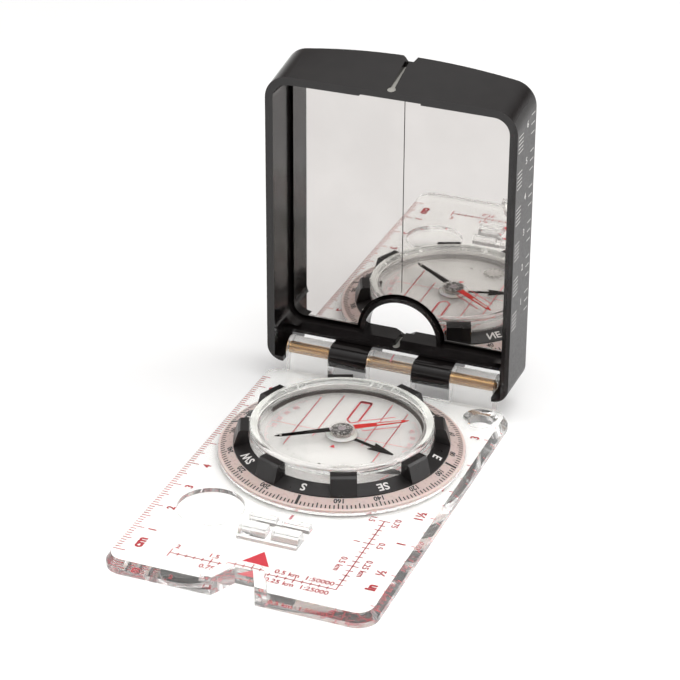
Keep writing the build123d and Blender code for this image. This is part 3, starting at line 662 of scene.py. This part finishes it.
class COMPASS_OT_print_map_scales(bpy.types.Operator):
    """Map scales for 1:25000 and 1:50000 in the plate's front right corner"""
    bl_idname = "compass.print_map_scales"
    bl_label = "Map Scales"

    def execute(self, context):
        look = context.scene.compass_print
        ink = screen_ink("screen ink, red, map scales", look.red_ink)
        low, high = box_mm("baseplate")
        thick, fine = look.ink_thickness, look.line_width
        level = low.z + PRINT_LIFT
        corner_x, corner_y = high.x - 12.1, low.y + 9.9
        across, up = 40, 30      # lengths of the two scales
        scale = start_piece("map_scale_lines")
        add_line((corner_x, corner_y), (corner_x - across, corner_y), fine, thick, level)
        add_line((corner_x, corner_y), (corner_x, corner_y + up), fine, thick, level)
        for mark in range(2, across + 1, 2):
            length = 3.2 if mark == across else tick_length(mark, 2.4, 1.2, 1.2)
            add_bar((corner_x - mark, corner_y, level), (fine, length, thick))
        for mark in range(2, up + 1, 2):
            length = tick_length(mark, 2.8, 1.8, 1.8)
            add_bar((corner_x, corner_y + mark, level), (length, fine, thick))
        finish_piece(scale, ink, "base")
        small, weight = look.digit_height * 0.8, 0.02
        # text, to the left of the corner and up from it
        rows = (("0.5 km  1:50000", 8.2, 1.9), ("0.25 km  1:25000", 8.6, -1.9),
                ("1.5", 30, 2.3), ("0.75", 30, -2.3), ("2", 39.2, 2.9))
        words = [letter(text, small, (corner_x - left, corner_y + rise, level), FLAT, thick,
                        weight)
                 for text, left, rise in rows]
        # text beside the upright scale: which side, and up from the corner
        columns = ((1, 10, "0.25 km"), (-1, 10, "0.5 km"), (1, 20, "0.5"), (-1, 20, "1"),
                   (1, 30, "0.75"), (-1, 30, "1.5"))
        turned, aside = (0, 0, -pi / 2), 2.9
        words += [letter(text, small, (corner_x + side * aside, corner_y + rise, level), turned,
                         thick, weight)
                  for side, rise, text in columns]
        finish_piece(join_words("map_scale_numbers", words), ink, "base")
        return {"FINISHED"}


class COMPASS_OT_print_pointers(bpy.types.Operator):
    """Direction triangle, index lines and the stripe on the middle hinge knuckle"""
    bl_idname = "compass.print_pointers"
    bl_label = "Triangle and Index Lines"

    def execute(self, context):
        look = context.scene.compass_print
        low, high = box_mm("baseplate")
        thick = look.ink_thickness
        level = low.z + PRINT_LIFT
        base_y, half, tall = low.y + 12.6, 3.35, 5.4
        triangle = start_piece("direction_triangle")
        bpy.ops.mesh.primitive_circle_add(vertices=3, fill_type="NGON", radius=1,
                                          location=(0, 0, 0))
        bpy.ops.transform.resize(value=(half * MM / cos(radians(30)), tall * MM / 1.5, 1),
                                 center_override=(0, 0, 0))
        bpy.ops.transform.translate(value=(0, (base_y + tall / 3) * MM, level * MM))
        thicken(thick)
        finish_piece(triangle, screen_ink("screen ink, bright red", look.arrow_ink), "base")
        front = box_mm("degree_ring")[0].y - 0.8
        pin_low, pin_high = box_mm("hinge_pin")
        axis_y = (pin_low.y + pin_high.y) / 2
        stripe_level = high.z - 1.35      # inside the middle knuckle, over the pin
        lines = start_piece("index_lines")
        add_bar((0, front - 1.3, level), (0.6, 2.5, thick))
        add_bar((0, axis_y, stripe_level), (0.4, 2.4, 0.05))
        finish_piece(lines, screen_ink("screen ink, pale red", look.pale_ink), "base")
        return {"FINISHED"}


# ---- print on the dial
class COMPASS_OT_print_degree_ring(bpy.types.Operator):
    """Degree ticks, numbers and quarter marks on the sloping ring"""
    bl_idname = "compass.print_degree_ring"
    bl_label = "Degree Ring"

    def execute(self, context):
        look, dial = context.scene.compass_print, context.scene.compass_dial
        ring_high, bezel_high = box_mm("degree_ring")[1], box_mm("bezel_ring")[1]
        inner, outer = bezel_high.x, ring_high.x
        slope_drop, lift = 0.33, 0.004      # fall per mm outward, and the ink's height over it
        tilt = atan2(slope_drop, 1)

        def level(radius):
            return ring_high.z - (radius - inner) * slope_drop + lift

        ticks = start_piece("degree_ticks")
        for degree in range(0, 360, dial.degree_step):
            quarter, long_mark = degree % 90 == 0, degree % 10 == 0
            start = inner + 0.15 if quarter else outer - 2.05 if long_mark else outer - 1.65
            end = outer - 0.6
            middle, length = (start + end) / 2, end - start
            turn = compass_turn(degree)
            width = 0.7 if quarter else 0.32
            add_bar(around(middle, turn, level(middle)), (length, width, look.ink_thickness),
                    (0, tilt, turn))
        finish_piece(ticks, screen_ink("pad-print ink, black", look.black_ink), "dial")
        words = []
        radius = inner + 0.85
        for degree in range(20, 360, 20):
            if degree % 90 != 0:
                turn = compass_turn(degree)
                words.append(letter(str(degree), 1.25, around(radius, turn, level(radius)),
                                    (-tilt, 0, turn - pi / 2), look.ink_thickness, 0.05))
        finish_piece(join_words("degree_numbers", words),
                     screen_ink("pad-print ink, black, digits", look.black_ink), "dial")
        return {"FINISHED"}


class COMPASS_OT_letter_bezel(bpy.types.Operator):
    """White letters of the eight directions on the bezel's slope"""
    bl_idname = "compass.letter_bezel"
    bl_label = "Bezel Letters"

    def execute(self, context):
        look = context.scene.compass_print
        outer, ring_top = box_mm("bezel_ring")[1].x, box_mm("degree_ring")[1].z
        bore, lip, rise, lift = 22.1, 0.3, 1.2, 0.012      # of the bezel's slope, and the ink's
        width = outer - bore
        tilt = atan2(rise, width)
        radius = outer - width * 0.47
        level = ring_top + lip + rise * (outer - radius) / width + lift
        words = []
        for place, text in enumerate(("N", "NE", "E", "SE", "S", "SW", "W", "NW")):
            turn = pi / 2 - place * pi / 4
            words.append(letter(text, 2.1, around(radius, turn, level),
                                (-tilt, 0, turn - pi / 2), look.ink_thickness, 0.03))
        finish_piece(join_words("bezel_letters", words),
                     screen_ink("pad-print ink, white", look.white_ink), "dial")
        return {"FINISHED"}


class COMPASS_OT_fill_capsule(bpy.types.Operator):
    """Clear damping liquid that fills the capsule"""
    bl_idname = "compass.fill_capsule"
    bl_label = "Capsule Liquid"

    def execute(self, context):
        cup_bottom, window_bottom = box_mm("capsule_cup")[0].z, box_mm("capsule_window")[0].z
        floor_thickness, window_recess = 0.6, 0.2
        lower_bore, upper_bore, ledge = 19.9, 20.5, 4.6
        overlap = 0.15      # into the walls, so that no air film lies between
        bottom = cup_bottom + floor_thickness - overlap
        top = window_bottom + overlap + window_recess
        lower_radius, upper_radius = lower_bore + overlap, upper_bore + overlap
        step = ledge - overlap
        liquid = start_piece("capsule_liquid")
        bpy.ops.mesh.primitive_circle_add(vertices=128, fill_type="NGON",
                                          radius=lower_radius * MM,
                                          location=(0, 0, bottom * MM))
        thicken(step - bottom)
        grow = upper_radius / lower_radius
        bpy.ops.mesh.extrude_region_move()
        bpy.ops.transform.resize(value=(grow, grow, 1), center_override=(0, 0, 0))
        thicken(top - step)
        finish_piece(liquid, polished_acrylic("damping oil, clear", linear("fdfcfc"), 1.44,
                                              0.004, 0.0), "dial")
        return {"FINISHED"}


class COMPASS_OT_print_disc(bpy.types.Operator):
    """Meridian lines, orienting arrow and declination scale on the disc"""
    bl_idname = "compass.print_disc"
    bl_label = "Declination Disc"

    def execute(self, context):
        look, dial = context.scene.compass_print, context.scene.compass_dial
        disc_low, disc_high = box_mm("declination_disc")
        face_height, lift = 1.4, 0.02      # the disc's upper face, above its gear teeth
        level = disc_low.z + face_height + lift
        reach = disc_high.x - 1.0
        thick = look.ink_thickness
        half = dial.arrow_width / 2

        def finish_print(piece, ink_name, colour):
            finish_piece(piece, screen_ink(ink_name, colour), "declination_plate")

        lines = start_piece("meridian_lines")
        inset = 0.2      # the gaps are counted from this far inside the arrow's lines
        for step, start in ((-2, -9.0), (-1, -3.2), (1, -3.2), (2, -9.0)):
            across = step * dial.meridian_gap + (half - inset if step > 0 else inset - half)
            end = (reach ** 2 - across ** 2) ** 0.5
            add_line((across, start), (across, end), 0.26, thick, level)
        for side in (-1, 1):
            add_line((side * 3.4, 0), (side * (reach - 0.8), 0), 0.16, thick, level)
        finish_print(lines, "pad-print ink, red, meridians", linear("c8434d"))

        arrow = start_piece("orienting_arrow")
        far, near, tail = 16.2, 7.1, 5.8
        for side in (-1, 1):
            add_line((side * half, near), (side * half, far), 0.5, thick, level)
            add_line((side * half, near), (side * 0.1, tail), 0.4, thick, level)
        for step in range(7):              # the rounded head
            turn = step * pi / 6
            add_bar((half * 0.9 * cos(turn), far + 0.35 * sin(turn), level), (0.75, 0.55, thick),
                    (0, 0, turn + pi / 2))
        add_line((-half, far + 0.1), (half, far + 0.1), 1.1, thick, level)
        finish_print(arrow, "pad-print ink, red, disc", linear("dd4a52"))

        words = []
        radius = reach - 1.9
        for side in (-1, 1):
            for step, number in enumerate(("10", "20", "30", "40")):
                turn = (0 if side > 0 else pi) + side * radians(-6 + 11 * step)
                words.append(letter(number, 1.25, around(radius, turn, level),
                                    (0, 0, turn - pi / 2), thick, 0.0))
        finish_print(join_words("declination_numbers", words),
                     "pad-print ink, pale red, digits", look.pale_ink)

        scale = start_piece("declination_ticks")
        for degree in range(-40, 41, 2):
            for side in (0, pi):
                turn = side + radians(degree)
                length = 1.0 if degree % 10 == 0 else 0.5
                add_bar(around(reach - 0.2 - length / 2, turn, level), (length, 0.09, thick),
                        (0, 0, turn))
        finish_print(scale, "pad-print ink, pale red, ticks", look.pale_ink)

        marks = start_piece("south_marks")
        bpy.ops.mesh.primitive_circle_add(vertices=3, fill_type="NGON", radius=0.85 * MM,
                                          location=(0, -6.0 * MM, level * MM))
        thicken(thick)
        finish_print(marks, "pad-print ink, red, mark", look.arrow_ink)

        dots = start_piece("clinometer_marks")
        for degree in range(-60, 61, 10):
            turn = radians(-90 + degree)
            diameter = 0.75 if degree == 0 else 0.34
            add_dot(around(reach - 4.2, turn, level), diameter / 2, thick, 16)
        finish_print(dots, "pad-print ink, black, disc", look.black_ink)
        return {"FINISHED"}


class COMPASS_OT_add_toothed_rim(bpy.types.Operator):
    """Finely toothed sector on the rear half of the disc's upstanding wall"""
    bl_idname = "compass.add_toothed_rim"
    bl_label = "Toothed Rim"

    def execute(self, context):
        dial = context.scene.compass_dial
        disc_high = box_mm("declination_disc")[1]
        outer, wall = disc_high.x + 0.03, 0.66      # a sleeve just over the disc's own wall
        drop, rise = 1.1, 0.1                       # its ends, under and over the wall's top
        tooth_height, tooth_width, sunk = 0.6, 0.36, 0.02
        middle = outer - wall / 2
        rim = start_piece("toothed_rim")
        bpy.ops.mesh.primitive_cylinder_add(vertices=dial.rim_teeth, radius=outer * MM,
                                            depth=(drop + rise) * MM, end_fill_type="NOTHING",
                                            location=(0, 0, (disc_high.z + (rise - drop) / 2) * MM))
        bpy.ops.object.mode_set(mode="OBJECT")
        solid = rim.modifiers.new("wall", "SOLIDIFY")
        solid.thickness = wall * MM
        solid.offset = -1
        bpy.ops.object.modifier_apply(modifier="wall")
        bpy.ops.object.mode_set(mode="EDIT")
        sector_start = 3.0                          # behind the dial's centre
        bpy.ops.mesh.select_all(action="SELECT")
        bpy.ops.mesh.bisect(plane_co=(0, sector_start * MM, 0), plane_no=(0, 1, 0), use_fill=True,
                            clear_inner=True)
        for tooth in range(dial.rim_teeth):
            turn = 2 * pi * tooth / dial.rim_teeth
            if middle * sin(turn) > sector_start + wall:
                add_bar(around(middle, turn, disc_high.z + rise + tooth_height / 2 - sunk),
                        (wall, tooth_width, tooth_height), (0, 0, turn))
        # dark grey, and on the far half of the disc's wall only
        finish_piece(rim, screen_ink("rim with teeth, dark grey", linear("5a5553"), 0.4, 1.1),
                     "declination_plate")
        return {"FINISHED"}


class COMPASS_OT_dress_needle(bpy.types.Operator):
    """Luminous stripe and guide lines of the north end, dot of the south end"""
    bl_idname = "compass.dress_needle"
    bl_label = "Needle Markings"

    def execute(self, context):
        north_high = box_mm("needle_north")[1]
        tip = Vector((north_high.x, north_high.y))
        heading = atan2(tip.y, tip.x)
        reach = tip.length
        top = north_high.z
        thick = 0.05
        # along the needle, as shares of its reach
        stripe_from, stripe_to, guide_from, guide_to, dot_at = 0.52, 0.88, 0.27, 0.83, 0.9
        stripe_width, guide_gap, guide_width, dot_radius = 0.62, 2.3, 0.26, 0.28
        ahead, aside = Vector((cos(heading), sin(heading))), Vector((-sin(heading), cos(heading)))
        stripe = start_piece("needle_luminous_stripe")
        add_line(ahead * reach * stripe_from, ahead * reach * stripe_to, stripe_width, thick,
                 top + thick / 2)
        finish_piece(stripe, screen_ink("luminous paint, pale", linear("ddd3ce"), 0.6),
                     "needle")
        guides = start_piece("needle_guide_lines")
        for side in (-1, 1):
            offset = aside * side * guide_gap
            root = ahead * reach * guide_from
            add_line(root + offset, ahead * reach * guide_to + offset, guide_width, 0.1,
                     top - 0.15)
            add_line(root, root + offset, 0.12, 0.06, top - 0.2)
        finish_piece(guides, screen_ink("clear carrier print, red", linear("d9545c")), "needle")
        dot = start_piece("needle_south_dot")
        place = -ahead * reach * dot_at
        add_dot((place.x, place.y, top + thick / 2), dot_radius, thick, 24)
        finish_piece(dot, screen_ink("luminous paint, pale, dot", linear("cfc9c4"), 0.6), "needle")
        return {"FINISHED"}


# ---- lid details
class COMPASS_OT_mark_mirror(bpy.types.Operator):
    """Sighting line down the middle of the mirror"""
    bl_idname = "compass.mark_mirror"
    bl_label = "Mirror Line"

    def execute(self, context):
        look = context.scene.compass_print
        low, high = box_mm("mirror")
        cutout_height, margin = 11.6, 0.6
        width, thick, rounding = 0.22, 0.02, 0.005
        bottom = low.z + cutout_height
        middle, tall = (bottom + high.z) / 2, high.z - bottom
        line = start_piece("mirror_sight_line")
        add_bar((0, low.y - thick / 2, middle), (width, thick, tall - margin))
        bpy.ops.mesh.bevel(offset=rounding * MM, segments=2)
        finish_piece(line, screen_ink("engraved line, black filled", look.black_ink), "lid")
        return {"FINISHED"}


class COMPASS_OT_letter_lid(bpy.types.Operator):
    """White slope scale on the lid's right-hand wall"""
    bl_idname = "compass.letter_lid"
    bl_label = "Lid Scale"

    def execute(self, context):
        look = context.scene.compass_print
        low, high = box_mm("lid_frame")
        thick = look.ink_thickness
        face = high.x + thick / 2 - 0.005
        count, period, start = 6, 9.3, low.z + 21.0      # groups up the wall
        # place across the wall, and length or height
        hatch_y, hatch_length = low.y + 2.6, 3.4
        digit_y, digit_height = low.y + 7.4, 1.7
        mark_y, mark_length, mark_gap = low.y + 11.4, 2.6, 2.4
        ink = screen_ink("pad-print ink, white, lid", look.white_ink)
        ticks = start_piece("lid_scale_ticks")
        for group in range(count):
            base = start + group * period
            for step in range(5):
                add_bar((face, hatch_y, base + step * 1.0), (thick, hatch_length, 0.18))
            for step in range(3):
                add_bar((face, mark_y, base + 1.4 + step * mark_gap), (thick, mark_length, 0.2))
        finish_piece(ticks, ink, "lid")
        words = [letter(str(group + 1), digit_height,
                        (face, digit_y, start + group * period + 5.0), (pi / 2, 0, pi / 2),
                        thick, 0.01)
                 for group in range(count)]
        finish_piece(join_words("lid_scale_numbers", words), ink, "lid")
        return {"FINISHED"}


# ---- panel and registration
PIECES = (COMPASS_OT_stage, COMPASS_OT_finish_base, COMPASS_OT_finish_lid, COMPASS_OT_finish_dial,
          COMPASS_OT_finish_needle, COMPASS_OT_print_rulers, COMPASS_OT_print_map_scales,
          COMPASS_OT_print_pointers, COMPASS_OT_print_degree_ring, COMPASS_OT_letter_bezel,
          COMPASS_OT_fill_capsule, COMPASS_OT_print_disc, COMPASS_OT_add_toothed_rim,
          COMPASS_OT_dress_needle, COMPASS_OT_mark_mirror, COMPASS_OT_letter_lid)
SETTINGS = {"compass_finish": FinishSettings, "compass_print": PrintSettings,
            "compass_dial": DialSettings}


class COMPASS_PT_panel(bpy.types.Panel):
    """Lists the settings and every piece"""
    bl_label = "Mirror Sighting Compass"
    bl_idname = "COMPASS_PT_panel"
    bl_space_type = "VIEW_3D"
    bl_region_type = "UI"
    bl_category = "Compass"

    def draw(self, context):
        for name, group in SETTINGS.items():
            box = self.layout.box()
            for setting in group.__annotations__:
                box.prop(getattr(context.scene, name), setting)
        for operator in PIECES:
            self.layout.operator(operator.bl_idname)


def register():
    for group in SETTINGS.values():
        bpy.utils.register_class(group)
    for name, group in SETTINGS.items():
        setattr(bpy.types.Scene, name, bpy.props.PointerProperty(type=group))
    for operator in PIECES:
        bpy.utils.register_class(operator)
    bpy.utils.register_class(COMPASS_PT_panel)


def unregister():
    bpy.utils.unregister_class(COMPASS_PT_panel)
    for operator in reversed(PIECES):
        bpy.utils.unregister_class(operator)
    for name, group in SETTINGS.items():
        delattr(bpy.types.Scene, name)
        bpy.utils.unregister_class(group)


def main():
    """Makes every piece in turn."""
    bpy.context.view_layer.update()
    register()
    for operator in PIECES:
        group, name = operator.bl_idname.split(".")
        getattr(getattr(bpy.ops, group), name)()


if __name__ == "__main__":
    main()
